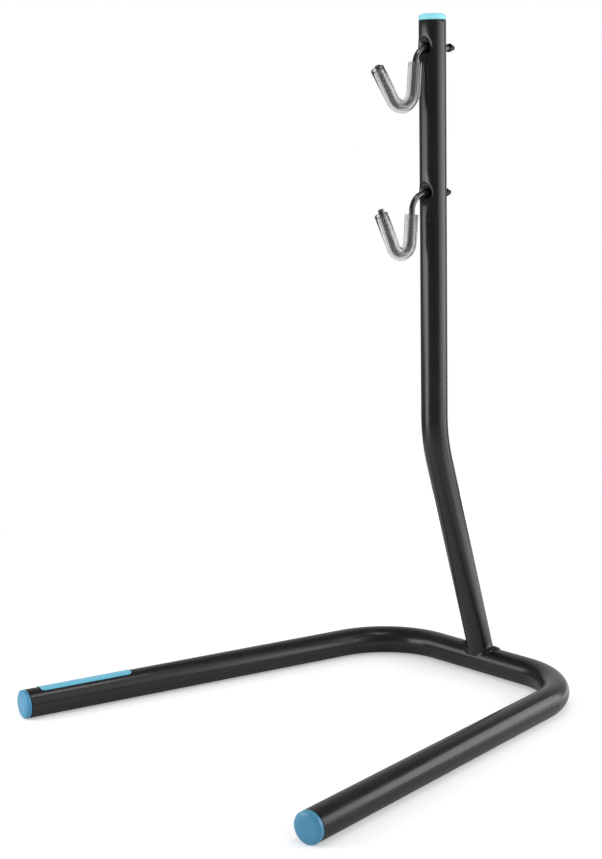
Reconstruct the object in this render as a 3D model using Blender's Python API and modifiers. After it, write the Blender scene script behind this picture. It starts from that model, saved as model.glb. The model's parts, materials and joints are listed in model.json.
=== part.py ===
"""Bike display stand: a U-shaped base tube, a leaning post and two swivelling hooks for a frame's stays.

The origin lies on the floor under the middle of the crossbar. +Z is up, the legs run towards -Y and the
stand is symmetric about X = 0, apart from the label on its left leg. All lengths are in metres.
"""

import math
from collections import namedtuple

import bmesh
import bpy
from mathutils import Matrix, Vector

# Clearances
SEAT_GAP = 0.0003
FRONT_HOLE_CLEARANCE = 0.0020
REAR_HOLE_CLEARANCE = 0.0005

# Base tube: a crossbar and two splayed legs, bent from one length
BASE_DIAMETER = 0.030
BASE_WALL = 0.0015
CROSSBAR_LENGTH = 0.276
LEG_LENGTH = 0.457
LEG_SPLAY = math.radians(10.6)
BASE_BEND_RADIUS = 0.085

# Post: leans over the legs from a foot set back on the crossbar, then runs straight up
POST_DIAMETER = 0.028
POST_WALL = 0.0015
POST_SET_BACK = 0.0026
POST_LEAN = math.radians(16.12)
POST_FOOT_LENGTH = 0.2678
POST_FOOT_TRIM = 0.0015
POST_UPPER_LENGTH = 0.4315
POST_BEND_RADIUS = 0.176

# Weld round the post's foot: a bead that thins out in front and behind, and dabs on the crossbar beside it
BEAD_SIDE_RADIUS = 0.0040
BEAD_FRONT_RADIUS = 0.0014
BEAD_REAR_RADIUS = 0.0028
BEAD_SET_OFF = 0.0006
BEAD_RIPPLE = 0.09
BEAD_RIPPLES = 13

Dab = namedtuple("Dab", "name along turn radius")
WELD_DABS = (
    Dab("left_inner_dab", along=-0.0195, turn=math.radians(26), radius=0.0044),
    Dab("left_outer_dab", along=-0.0245, turn=math.radians(38), radius=0.0029),
    Dab("right_inner_dab", along=0.0190, turn=math.radians(14), radius=0.0045),
    Dab("right_outer_dab", along=0.0245, turn=math.radians(2), radius=0.0031),
)

# Pressed dents round the holes in the front of the post
DENT_DEPTH = 0.005
DENT_HALF_WIDTH = 0.013
DENT_HALF_HEIGHT = 0.020
DENT_RINGS = 10

# End caps: a domed head on a ribbed plug
CAP_SIDE_HEIGHT = 0.0034
CAP_DOME_HEIGHT = 0.0031
CAP_FLAT_SHARE = 0.52
CAP_DOME_STEPS = 5
LEG_PLUG_LENGTH = 0.016
PLUG_WALL = 0.0016
PLUG_RIB_HEIGHT = 0.0007
PLUG_RIB_PITCH = 0.004

# Label on the left leg, measured along the leg from the tube's end and round it from the inner side
LABEL_LENGTH = 0.103
LABEL_END_MARGIN = 0.014
LABEL_START_ANGLE = math.radians(60)
LABEL_END_ANGLE = math.radians(150)
LABEL_CORNER_RADIUS = 0.004
LABEL_THICKNESS = 0.00025

# Hooks: one rod each, with a shank through the post, a stem, a throat and an arm
ROD_DIAMETER = 0.006
ROD_CHAMFER = 0.0005
SHANK_LENGTH = 0.0541
SHANK_BEND_RADIUS = 0.018
STEM_LEAN = math.radians(5.3)
THREAD_DIAMETER = 0.005
THREAD_SHOWING = 0.0030
SHOULDER_LENGTH = 0.0005
NUT_WIDTH = 0.008
NUT_HEIGHT = 0.005
NUT_COLLAR_HEIGHT = 0.0014
NUT_COLLAR_DIAMETER = 0.0072
NUT_CHAMFER = 0.0006
NUT_TURN = math.radians(-20)
SLEEVE_DIAMETER = 0.014
SLEEVE_WALL = 0.002

Hook = namedtuple(
    "Hook", "name below_top pushed_in depth throat_radius arm_lean arm_length sleeve_drop rod_showing"
)
UPPER_HOOK = Hook(
    name="upper_hook",
    below_top=0.0270,
    pushed_in=0.0082,
    depth=0.05885,
    throat_radius=0.0164,
    arm_lean=math.radians(34.7),
    arm_length=0.0377,
    sleeve_drop=0.0151,
    rod_showing=0.0016,
)
LOWER_HOOK = Hook(
    name="lower_hook",
    below_top=0.1740,
    pushed_in=0.0023,
    depth=0.0601,
    throat_radius=0.0126,
    arm_lean=math.radians(26.7),
    arm_length=0.0424,
    sleeve_drop=0.0207,
    rod_showing=0.0044,
)
HOOKS = (UPPER_HOOK, LOWER_HOOK)

# Facets
TUBE_SIDES = 32
CUTTER_SIDES = 64
HOLE_SIDES = 24
ROD_SIDES = 12
SLEEVE_SIDES = 16
BEAD_SIDES = 8
BEAD_STATIONS = 40
DAB_SUBDIVISIONS = 2
NUT_STEPS = 24
LABEL_CORNER_STEPS = 4
BEND_STEP = math.radians(6.5)
ROD_BEND_STEP = math.radians(10.0)
SMOOTH_ANGLE = math.radians(35.0)
WELD_SMOOTH_ANGLE = math.radians(60.0)
WELD_DISTANCE = 0.000001
TURN_MERGE_DISTANCE = 0.00001

# Sizes that follow from the ones above
BASE_RADIUS = BASE_DIAMETER / 2
POST_RADIUS = POST_DIAMETER / 2
ROD_RADIUS = ROD_DIAMETER / 2
HALF_FACET = math.pi / TUBE_SIDES
BASE_AXIS_HEIGHT = BASE_RADIUS * math.cos(HALF_FACET)
POST_AXIS_Y = POST_SET_BACK - POST_FOOT_LENGTH * math.sin(POST_LEAN)
KNEE_Z = BASE_AXIS_HEIGHT + POST_FOOT_LENGTH * math.cos(POST_LEAN)
POST_TOP_Z = KNEE_Z + POST_UPPER_LENGTH
POST_PLUG_LENGTH = UPPER_HOOK.below_top - DENT_HALF_HEIGHT - SEAT_GAP
HOOK_OUTER_REACH = SHANK_LENGTH - THREAD_SHOWING - NUT_HEIGHT - SEAT_GAP - POST_RADIUS
SLEEVE_PLAY = SLEEVE_DIAMETER / 2 - SLEEVE_WALL - ROD_RADIUS - SEAT_GAP
CUTTER_MARGIN = 0.010

# Colours of the finishes
COAT_BLACK = (0.016, 0.016, 0.017)
ROD_BLACK = (0.010, 0.010, 0.011)
CAP_BLUE = (0.070, 0.260, 0.430)
LABEL_BLUE = (0.110, 0.440, 0.640)
SLEEVE_GREY = (0.780, 0.800, 0.800)


def clear_scene():
    for old in list(bpy.data.objects):
        bpy.data.objects.remove(old, do_unlink=True)


def new_collection(name):
    collection = bpy.data.collections.new(name)
    bpy.context.scene.collection.children.link(collection)
    return collection


def finish(name, colour, roughness, metallic=0.0, alpha=1.0):
    """A Principled material with the part's colour, roughness and metallic value."""
    material = bpy.data.materials.new(name)
    material.use_nodes = True
    shader = material.node_tree.nodes["Principled BSDF"]
    shader.inputs["Base Color"].default_value = (*colour, 1.0)
    shader.inputs["Roughness"].default_value = roughness
    shader.inputs["Metallic"].default_value = metallic
    shader.inputs["Alpha"].default_value = alpha
    return material


def add_object(name, data, collection, material=None):
    item = bpy.data.objects.new(name, data)
    collection.objects.link(item)
    if material is not None:
        data.materials.append(material)
    return item


def shade_round(mesh, angle=SMOOTH_ANGLE):
    mesh.shade_smooth()
    mesh.set_sharp_from_angle(angle=angle)


def fillet(before, corner, after, radius, step):
    """Points of the arc that rounds a corner, from one tangent point to the other."""
    back = (before - corner).normalized()
    onward = (after - corner).normalized()
    opening = back.angle(onward)
    tangent_length = radius / math.tan(opening / 2)
    centre = corner + (back + onward).normalized() * (radius / math.sin(opening / 2))
    first = corner + back * tangent_length - centre
    last = corner + onward * tangent_length - centre
    sweep = math.pi - opening
    count = max(2, math.ceil(sweep / step))
    turns = [Matrix.Rotation(sweep * index / count, 3, first.cross(last)) for index in range(count + 1)]
    return [centre + turn @ first for turn in turns]


def route_curve(name, points, radius, sides, caps, scales=None, tilt=0.0):
    """A round bar or tube surface along a route, as a POLY curve with a bevel."""
    curve = bpy.data.curves.new(name, "CURVE")
    curve.dimensions = "3D"
    curve.twist_mode = "MINIMUM"
    curve.bevel_depth = radius
    curve.bevel_resolution = sides // 2 - 2
    curve.use_fill_caps = caps
    spline = curve.splines.new("POLY")
    spline.points.add(len(points) - 1)
    for index, point in enumerate(points):
        spline.points[index].co = (*point, 1.0)
        spline.points[index].tilt = tilt
        spline.points[index].radius = scales[index] if scales else 1.0
    return curve


def mesh_from_curve(name, curve, collection):
    """A curve object's evaluated mesh with its loose ends welded, in a mesh object of the same name."""
    holder = add_object(name + "_curve", curve, collection)
    evaluated = holder.evaluated_get(bpy.context.evaluated_depsgraph_get())
    mesh = bpy.data.meshes.new_from_object(evaluated)
    mesh.name = name
    shape = bmesh.new()
    shape.from_mesh(mesh)
    bmesh.ops.remove_doubles(shape, verts=shape.verts, dist=WELD_DISTANCE)
    bmesh.ops.recalc_face_normals(shape, faces=shape.faces)
    shape.to_mesh(mesh)
    shape.free()
    item = add_object(name, mesh, collection)
    item.matrix_world = holder.matrix_world.copy()
    bpy.data.objects.remove(holder, do_unlink=True)
    return item


def add_wall(item, thickness):
    """Gives an open outer surface a wall that grows inwards."""
    wall = item.modifiers.new("Wall", "SOLIDIFY")
    wall.thickness = thickness
    wall.offset = -1.0
    return wall


def add_cut(item, cutter, operation="DIFFERENCE"):
    cut = item.modifiers.new(cutter.name, "BOOLEAN")
    cut.operation = operation
    cut.solver = "EXACT"
    cut.object = cutter
    return cut


def mark_cutter(item):
    item.hide_render = True
    item.display_type = "WIRE"
    return item


def cylinder_mesh(name, radius, length, sides):
    """A closed cylinder along Z, centred on its origin."""
    mesh = bpy.data.meshes.new(name)
    shape = bmesh.new()
    bmesh.ops.create_cone(
        shape, cap_ends=True, segments=sides, radius1=radius, radius2=radius, depth=length
    )
    shape.to_mesh(mesh)
    shape.free()
    return mesh


def cylinder_cutter(name, radius, length, sides, collection, location, direction):
    item = add_object(name, cylinder_mesh(name, radius, length, sides), collection)
    item.location = location
    item.rotation_euler = Vector(direction).to_track_quat("Z", "Y").to_euler()
    return mark_cutter(item)


def turned_mesh(name, profile, steps, collection, material, closed=False):
    """An object turned about its Z axis from a profile of (radius, height) points, top to bottom."""
    mesh = bpy.data.meshes.new(name)
    shape = bmesh.new()
    verts = [shape.verts.new((radius, 0.0, height)) for radius, height in profile]
    for first, second in zip(verts, verts[1:]):
        shape.edges.new((first, second))
    if closed:
        shape.edges.new((verts[-1], verts[0]))
    shape.to_mesh(mesh)
    shape.free()
    item = add_object(name, mesh, collection, material)
    turn = item.modifiers.new("Turned", "SCREW")
    turn.steps = steps
    turn.render_steps = steps
    turn.use_merge_vertices = True
    turn.merge_threshold = TURN_MERGE_DISTANCE
    turn.use_smooth_shade = True
    return item


def frame_rotation(z_axis, x_axis):
    """The rotation that turns +Z to z_axis and keeps +X on x_axis, as Euler angles."""
    up = Vector(z_axis).normalized()
    side = Vector(x_axis).normalized()
    return Matrix((side, up.cross(side), up)).transposed().to_euler()


def leg_direction(side):
    """Unit vector along a leg towards its open end; side is -1 for the left leg and 1 for the right."""
    return Vector((side * math.sin(LEG_SPLAY), -math.cos(LEG_SPLAY), 0.0))


def leg_corner(side):
    """Where the centre lines of the crossbar and a leg would cross, from the crossbar's middle."""
    return Vector((side * CROSSBAR_LENGTH / 2, 0.0, 0.0))


def hole_height(hook):
    """Height of a hook's shank above the floor."""
    return POST_TOP_Z - hook.below_top


def build_base_tube(collection, material):
    """One tube, bent twice, lying on the floor on a flat facet."""
    ends = {side: leg_corner(side) + leg_direction(side) * LEG_LENGTH for side in (-1, 1)}
    left_bend = fillet(ends[-1], leg_corner(-1), leg_corner(1), BASE_BEND_RADIUS, BEND_STEP)
    right_bend = fillet(leg_corner(-1), leg_corner(1), ends[1], BASE_BEND_RADIUS, BEND_STEP)
    points = [ends[-1], *left_bend, *right_bend, ends[1]]
    curve = route_curve("base_tube", points, BASE_RADIUS, TUBE_SIDES, caps=False, tilt=HALF_FACET)
    tube = mesh_from_curve("base_tube", curve, collection)
    tube.data.materials.append(material)
    tube.location = (0.0, 0.0, BASE_AXIS_HEIGHT)
    shade_round(tube.data)
    add_wall(tube, BASE_WALL)
    return tube


def foot_direction():
    """Unit vector up the leaning part of the post."""
    return Vector((0.0, -math.sin(POST_LEAN), math.cos(POST_LEAN)))


def post_stations():
    """Centre-line points of the post from its foot to its top, closer together at the dents."""
    foot = Vector((0.0, POST_SET_BACK, 0.0)) + foot_direction() * POST_FOOT_TRIM
    knee = Vector((0.0, POST_AXIS_Y, KNEE_Z - BASE_AXIS_HEIGHT))
    top = knee + Vector((0.0, 0.0, POST_UPPER_LENGTH))
    stations = [foot, *fillet(foot, knee, top, POST_BEND_RADIUS, BEND_STEP)]
    for hook in sorted(HOOKS, key=hole_height):
        for index in range(-DENT_RINGS // 2, DENT_RINGS // 2 + 1):
            offset = 2 * index / DENT_RINGS * DENT_HALF_HEIGHT
            stations.append(Vector((0.0, knee.y, hole_height(hook) - BASE_AXIS_HEIGHT + offset)))
    return [*stations, top]


def press_dents(mesh):
    """Pushes the front wall of the post in round each hole, deepest at the hole."""
    for vertex in mesh.vertices:
        radial = Vector((vertex.co.x, vertex.co.y - POST_AXIS_Y, 0.0))
        for hook in HOOKS:
            height = (vertex.co.z + BASE_AXIS_HEIGHT - hole_height(hook)) / DENT_HALF_HEIGHT
            if abs(height) >= 1.0:
                continue
            around = POST_RADIUS * math.atan2(radial.x, -radial.y) / DENT_HALF_WIDTH
            reach = height * height + around * around
            if reach < 1.0:
                vertex.co -= radial.normalized() * DENT_DEPTH * (1.0 - reach) ** 2


def build_post(collection, cutters, material):
    """The upright tube: coped over the crossbar, dented and drilled through for the two shanks."""
    stations = post_stations()
    curve = route_curve("upright_post", stations, POST_RADIUS, TUBE_SIDES, caps=False, tilt=HALF_FACET)
    post = mesh_from_curve("upright_post", curve, collection)
    post.data.materials.append(material)
    post.location = (0.0, 0.0, BASE_AXIS_HEIGHT)
    press_dents(post.data)
    shade_round(post.data)
    add_wall(post, POST_WALL)
    cope = cylinder_cutter(
        "cope_cutter",
        BASE_RADIUS + SEAT_GAP,
        POST_DIAMETER + 2 * CUTTER_MARGIN,
        CUTTER_SIDES,
        cutters,
        (0.0, 0.0, BASE_AXIS_HEIGHT),
        (1.0, 0.0, 0.0),
    )
    add_cut(post, cope)
    for hook in HOOKS:
        add_cut(post, hole_cutter(hook, "front", -1, FRONT_HOLE_CLEARANCE, cutters))
        add_cut(post, hole_cutter(hook, "rear", 1, REAR_HOLE_CLEARANCE, cutters))
    return post


def hole_cutter(hook, wall, side, clearance, cutters):
    """The drill for one wall of the post, from the post's axis outwards; side is -1 in front, 1 behind."""
    name = hook.name + "_" + wall + "_hole_cutter"
    radius = ROD_RADIUS + clearance
    length = POST_RADIUS + CUTTER_MARGIN
    middle = (0.0, POST_AXIS_Y + side * length / 2, hole_height(hook))
    return cylinder_cutter(name, radius, length, HOLE_SIDES, cutters, middle, (0.0, 1.0, 0.0))


def saddle_point(angle):
    """A point of the line where the post's outside meets the crossbar's, and the two outward normals.

    The angle runs round the post from +X to its rear, and the point is measured from the crossbar's axis.
    Where the post stands clear of the crossbar, the point is the nearest one on the post.
    """
    along = foot_direction()
    across = Vector((0.0, along.z, -along.y))
    post_normal = Vector((math.cos(angle), 0.0, 0.0)) + across * math.sin(angle)
    start = Vector((0.0, POST_SET_BACK, 0.0)) + post_normal * POST_RADIUS
    slope = along.y * start.y + along.z * start.z
    excess = start.y**2 + start.z**2 - BASE_RADIUS**2
    point = start + along * (math.sqrt(max(0.0, slope**2 - excess)) - slope)
    base_normal = Vector((0.0, point.y, point.z)).normalized()
    return point, post_normal, base_normal


def weld_bead(collection, material):
    """A rippled bead in the corner all round the post's foot, thickest beside the post."""
    points = []
    scales = []
    for index in range(BEAD_STATIONS):
        angle = 2 * math.pi * index / BEAD_STATIONS
        point, post_normal, base_normal = saddle_point(angle)
        points.append(point + (post_normal + base_normal).normalized() * BEAD_SET_OFF)
        thinnest = BEAD_FRONT_RADIUS if angle > math.pi else BEAD_REAR_RADIUS
        radius = thinnest + (BEAD_SIDE_RADIUS - thinnest) * math.cos(angle) ** 2
        scales.append(radius / BEAD_SIDE_RADIUS * (1.0 + BEAD_RIPPLE * math.sin(BEAD_RIPPLES * angle)))
    curve = route_curve("foot_weld", points, BEAD_SIDE_RADIUS, BEAD_SIDES, caps=False, scales=scales)
    curve.splines[0].use_cyclic_u = True
    bead = mesh_from_curve("foot_weld", curve, collection)
    bead.data.materials.append(material)
    bead.location = (0.0, 0.0, BASE_AXIS_HEIGHT)
    shade_round(bead.data, WELD_SMOOTH_ANGLE)
    return bead


def weld_dab(dab, cutters):
    """A ball with its middle on the crossbar's surface, its turn measured from the top to the front."""
    mesh = bpy.data.meshes.new(dab.name)
    shape = bmesh.new()
    bmesh.ops.create_icosphere(shape, subdivisions=DAB_SUBDIVISIONS, radius=dab.radius)
    shape.to_mesh(mesh)
    shape.free()
    shade_round(mesh, WELD_SMOOTH_ANGLE)
    ball = mark_cutter(add_object(dab.name, mesh, cutters))
    height = BASE_AXIS_HEIGHT + BASE_RADIUS * math.cos(dab.turn)
    ball.location = (dab.along, -BASE_RADIUS * math.sin(dab.turn), height)
    ball.rotation_euler = (dab.turn, 0.0, 0.0)
    return ball


def build_foot_weld(collection, cutters, material):
    """The bead and its dabs as one piece, cut clear of the two tubes."""
    weld = weld_bead(collection, material)
    for dab in WELD_DABS:
        add_cut(weld, weld_dab(dab, cutters), "UNION")
    furthest = max(abs(dab.along) + dab.radius for dab in WELD_DABS)
    length = 2 * (max(furthest, POST_RADIUS + 2 * BEAD_SIDE_RADIUS) + CUTTER_MARGIN)
    base_copy = cylinder_cutter(
        "weld_base_cutter",
        BASE_RADIUS + SEAT_GAP,
        length,
        CUTTER_SIDES,
        cutters,
        (0.0, 0.0, BASE_AXIS_HEIGHT),
        (1.0, 0.0, 0.0),
    )
    post_copy = cylinder_cutter(
        "weld_post_cutter",
        POST_RADIUS + SEAT_GAP,
        length,
        CUTTER_SIDES,
        cutters,
        (0.0, POST_SET_BACK, BASE_AXIS_HEIGHT),
        foot_direction(),
    )
    add_cut(weld, base_copy)
    add_cut(weld, post_copy)
    return weld


def cap_profile(tube_radius, tube_wall, plug_length):
    """Half section of a cap whose head lies over the tube's end, with the tube's end at height 0."""
    plug_radius = tube_radius - tube_wall - SEAT_GAP
    core_radius = plug_radius - PLUG_RIB_HEIGHT
    hollow_radius = core_radius - PLUG_WALL
    flat_radius = tube_radius * CAP_FLAT_SHARE
    underside = SEAT_GAP
    shoulder = underside + CAP_SIDE_HEIGHT
    profile = [(0.0, shoulder + CAP_DOME_HEIGHT)]
    for index in range(CAP_DOME_STEPS + 1):
        turn = math.pi / 2 * index / CAP_DOME_STEPS
        radius = flat_radius + (tube_radius - flat_radius) * math.sin(turn)
        profile.append((radius, shoulder + CAP_DOME_HEIGHT * math.cos(turn)))
    profile.append((tube_radius, underside))
    profile.append((core_radius, underside))
    rib_count = int((plug_length - PLUG_RIB_HEIGHT) / PLUG_RIB_PITCH)
    for index in range(1, rib_count + 1):
        middle = underside - index * PLUG_RIB_PITCH
        profile.append((core_radius, middle + PLUG_RIB_HEIGHT))
        profile.append((plug_radius, middle))
        profile.append((core_radius, middle - PLUG_RIB_HEIGHT))
    profile.append((core_radius, underside - plug_length))
    profile.append((hollow_radius, underside - plug_length))
    profile.append((hollow_radius, underside))
    profile.append((0.0, underside))
    return profile


def build_cap(name, profile, location, direction, side_axis, collection, material):
    """A domed cap on a tube's open end, its facets in line with the tube's."""
    cap = turned_mesh(name, profile, TUBE_SIDES, collection, material)
    cap.data.transform(Matrix.Rotation(HALF_FACET, 4, "Z"))
    cap.location = location
    cap.rotation_euler = frame_rotation(direction, side_axis)
    return cap


def build_caps(collection, material):
    leg_profile = cap_profile(BASE_RADIUS, BASE_WALL, LEG_PLUG_LENGTH)
    for side, name in ((-1, "left_leg_cap"), (1, "right_leg_cap")):
        direction = leg_direction(side)
        end = leg_corner(side) + direction * LEG_LENGTH + Vector((0.0, 0.0, BASE_AXIS_HEIGHT))
        side_axis = direction.cross(Vector((0.0, 0.0, 1.0)))
        build_cap(name, leg_profile, end, direction, side_axis, collection, material)
    post_profile = cap_profile(POST_RADIUS, POST_WALL, POST_PLUG_LENGTH)
    top = Vector((0.0, POST_AXIS_Y, POST_TOP_Z))
    build_cap("post_cap", post_profile, top, (0.0, 0.0, 1.0), (1.0, 0.0, 0.0), collection, material)


def label_place():
    """The middle of the label's stretch of leg, on the leg's axis."""
    middle = leg_corner(-1) + leg_direction(-1) * (LEG_LENGTH - LABEL_END_MARGIN - LABEL_LENGTH / 2)
    middle.z = BASE_AXIS_HEIGHT
    return middle


def label_plate(skin_radius, cutters):
    """A plate with rounded corners, as high as the tube, that stands on the leg's axis over the label."""
    half_angle = (LABEL_END_ANGLE - LABEL_START_ANGLE) / 2
    size = Vector((2 * skin_radius * math.sin(half_angle), LABEL_LENGTH, BASE_DIAMETER))
    mesh = bpy.data.meshes.new("label_plate")
    shape = bmesh.new()
    bmesh.ops.create_cube(shape, size=1.0)
    bmesh.ops.scale(shape, vec=size, verts=shape.verts)
    bmesh.ops.translate(shape, vec=(0.0, 0.0, size.z / 2), verts=shape.verts)
    upright = [edge for edge in shape.edges if abs(edge.verts[0].co.z - edge.verts[1].co.z) > BASE_RADIUS]
    bmesh.ops.bevel(
        shape,
        geom=upright,
        offset=LABEL_CORNER_RADIUS,
        segments=LABEL_CORNER_STEPS,
        profile=0.5,
        affect="EDGES",
    )
    shape.to_mesh(mesh)
    shape.free()

    direction = leg_direction(-1)
    inner_side = Vector((math.cos(LEG_SPLAY), -math.sin(LEG_SPLAY), 0.0))
    mean_angle = (LABEL_START_ANGLE + LABEL_END_ANGLE) / 2
    outward = inner_side * math.cos(mean_angle) + Vector((0.0, 0.0, math.sin(mean_angle)))
    plate = mark_cutter(add_object("label_plate", mesh, cutters))
    plate.location = label_place()
    plate.rotation_euler = frame_rotation(outward, direction.cross(outward))
    return plate


def build_label(collection, cutters, material):
    """A thin curved sticker, cut from a skin round the left leg by a plate with rounded corners."""
    skin_radius = BASE_RADIUS + SEAT_GAP + LABEL_THICKNESS
    mesh = bpy.data.meshes.new("leg_label")
    shape = bmesh.new()
    bmesh.ops.create_cone(
        shape,
        cap_ends=False,
        segments=CUTTER_SIDES,
        radius1=skin_radius,
        radius2=skin_radius,
        depth=LABEL_LENGTH + 2 * CUTTER_MARGIN,
    )
    shape.to_mesh(mesh)
    shape.free()
    shade_round(mesh)
    direction = leg_direction(-1)
    label = add_object("leg_label", mesh, collection, material)
    label.location = label_place()
    label.rotation_euler = frame_rotation(direction, direction.cross(Vector((0.0, 0.0, 1.0))))
    add_wall(label, LABEL_THICKNESS)
    add_cut(label, label_plate(skin_radius, cutters), "INTERSECT")
    return label


def stem_point(hook, drop):
    """A point of a hook's stem line, at a drop below the shank, in the hook's own frame.

    That frame's origin is where the shank's axis crosses the post's axis, and -Y points out in front.
    """
    reach = HOOK_OUTER_REACH - hook.pushed_in
    return Vector((0.0, -reach - math.tan(STEM_LEAN) * drop, -drop))


def arm_line(hook, arm_lean, length):
    """Where an arm's line would cross the stem's, and the arm's end, a length above its throat."""
    half_opening = (STEM_LEAN + arm_lean) / 2
    bisector_tilt = (arm_lean - STEM_LEAN) / 2
    rise = hook.throat_radius * math.cos(bisector_tilt) / math.sin(half_opening)
    corner = stem_point(hook, hook.depth - hook.throat_radius + rise)
    arm = Vector((0.0, -math.sin(arm_lean), math.cos(arm_lean)))
    return corner, corner + arm * (hook.throat_radius / math.tan(half_opening) + length)


def build_rod(hook, shoulder, collection, material):
    """The bent rod, from its turned thread behind the post to the end of its arm.

    In the looser bore of the sleeve the arm leans a little less, and so rests on it at the sleeve's mouth.
    """
    shank_corner = stem_point(hook, 0.0)
    arm_lean = hook.arm_lean - SLEEVE_PLAY / hook.arm_length
    throat_corner, rod_end = arm_line(hook, arm_lean, hook.arm_length)
    arm_edge = rod_end + (throat_corner - rod_end).normalized() * ROD_CHAMFER
    backwards = Vector((0.0, 1.0, 0.0))
    thread_edge = shoulder + backwards * (SEAT_GAP + NUT_HEIGHT + THREAD_SHOWING - ROD_CHAMFER)
    thread_end = thread_edge + backwards * ROD_CHAMFER
    full_rod = shoulder - backwards * SHOULDER_LENGTH
    shank_bend = fillet(shoulder, shank_corner, throat_corner, SHANK_BEND_RADIUS, ROD_BEND_STEP)
    throat = fillet(shank_corner, throat_corner, rod_end, hook.throat_radius, ROD_BEND_STEP)

    thread_points = [thread_end, thread_edge, shoulder]
    full_points = [full_rod, *shank_bend, *throat, arm_edge]
    thread_radius = THREAD_DIAMETER / 2
    radii = [thread_radius - ROD_CHAMFER, thread_radius, thread_radius]
    radii += [ROD_RADIUS] * len(full_points)
    radii += [ROD_RADIUS - ROD_CHAMFER]
    scales = [radius / ROD_RADIUS for radius in radii]
    route = [*thread_points, *full_points, rod_end]
    curve = route_curve(hook.name, route, ROD_RADIUS, ROD_SIDES, caps=True, scales=scales)
    rod = mesh_from_curve(hook.name, curve, collection)
    rod.data.materials.append(material)
    shade_round(rod.data)
    return rod


def build_sleeve(hook, collection, material):
    """The clear hose over the stem, the throat and most of the arm."""
    name = hook.name + "_sleeve"
    sleeve_top = stem_point(hook, hook.sleeve_drop)
    throat_corner, mouth = arm_line(hook, hook.arm_lean, hook.arm_length - hook.rod_showing)
    throat = fillet(sleeve_top, throat_corner, mouth, hook.throat_radius, ROD_BEND_STEP)
    curve = route_curve(name, [sleeve_top, *throat, mouth], SLEEVE_DIAMETER / 2, SLEEVE_SIDES, caps=False)
    sleeve = mesh_from_curve(name, curve, collection)
    sleeve.data.materials.append(material)
    shade_round(sleeve.data)
    add_wall(sleeve, SLEEVE_WALL)
    return sleeve


def build_hook(hook, collection, cutters, rod_material, sleeve_material, nut_material):
    """A rod, its sleeve and its nut, on an empty that lies on the swivel axis."""
    pivot = bpy.data.objects.new(hook.name + "_pivot", None)
    collection.objects.link(pivot)
    pivot.location = (0.0, POST_AXIS_Y, hole_height(hook))
    pivot.empty_display_size = ROD_DIAMETER

    shoulder = Vector((0.0, POST_RADIUS + hook.pushed_in, 0.0))
    rod = build_rod(hook, shoulder, collection, rod_material)
    rod.parent = pivot
    sleeve = build_sleeve(hook, collection, sleeve_material)
    sleeve.parent = pivot

    nut = build_nut(hook.name + "_nut", collection, nut_material)
    hexagon = nut_hexagon(hook.name + "_nut_hexagon", cutters)
    for item in (nut, hexagon):
        item.location = shoulder + Vector((0.0, SEAT_GAP, 0.0))
        item.rotation_euler = frame_rotation((0.0, 1.0, 0.0), (math.cos(NUT_TURN), 0.0, math.sin(NUT_TURN)))
        item.parent = pivot
    add_cut(nut, hexagon, "INTERSECT")


def build_nut(name, collection, material):
    """A self-locking nut before its flats are cut: bearing face at the origin, collar towards +Z."""
    bore_radius = THREAD_DIAMETER / 2 + SEAT_GAP
    flat_radius = NUT_WIDTH / 2
    corner_radius = nut_corner_radius()
    hexagon_height = NUT_HEIGHT - NUT_COLLAR_HEIGHT
    collar_radius = NUT_COLLAR_DIAMETER / 2
    profile = [
        (bore_radius, NUT_HEIGHT),
        (collar_radius - NUT_CHAMFER, NUT_HEIGHT),
        (collar_radius, NUT_HEIGHT - NUT_CHAMFER),
        (collar_radius, hexagon_height),
        (flat_radius, hexagon_height),
        (corner_radius, hexagon_height - NUT_CHAMFER),
        (corner_radius, NUT_CHAMFER),
        (flat_radius, 0.0),
        (bore_radius, 0.0),
    ]
    return turned_mesh(name, profile, NUT_STEPS, collection, material, closed=True)


def nut_corner_radius():
    return NUT_WIDTH / math.sqrt(3)


def nut_hexagon(name, cutters):
    """The hexagonal prism that gives a nut its flats."""
    length = NUT_HEIGHT + 2 * CUTTER_MARGIN
    return mark_cutter(add_object(name, cylinder_mesh(name, nut_corner_radius(), length, 6), cutters))


def main():
    clear_scene()
    stand = new_collection("bike_display_stand")
    cutters = new_collection("cutters")
    black_coat = finish("black_coat", COAT_BLACK, 0.28)
    rod_black = finish("rod_black", ROD_BLACK, 0.22, metallic=0.4)
    cap_blue = finish("cap_blue", CAP_BLUE, 0.35)
    label_blue = finish("label_blue", LABEL_BLUE, 0.30)
    sleeve_clear = finish("sleeve_clear", SLEEVE_GREY, 0.12, alpha=0.4)
    nut_black = finish("nut_black", ROD_BLACK, 0.30, metallic=0.6)
    build_base_tube(stand, black_coat)
    build_post(stand, cutters, black_coat)
    build_foot_weld(stand, cutters, black_coat)
    build_caps(stand, cap_blue)
    build_label(stand, cutters, label_blue)
    for hook in HOOKS:
        build_hook(hook, stand, cutters, rod_black, sleeve_clear, nut_black)


main()
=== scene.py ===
"""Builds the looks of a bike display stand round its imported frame, from the coated tubes to the clear hoses.

Run as a script it also lays out a plain studio. All lengths are in metres, +Z is up and the legs run
towards -Y.
"""

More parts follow.
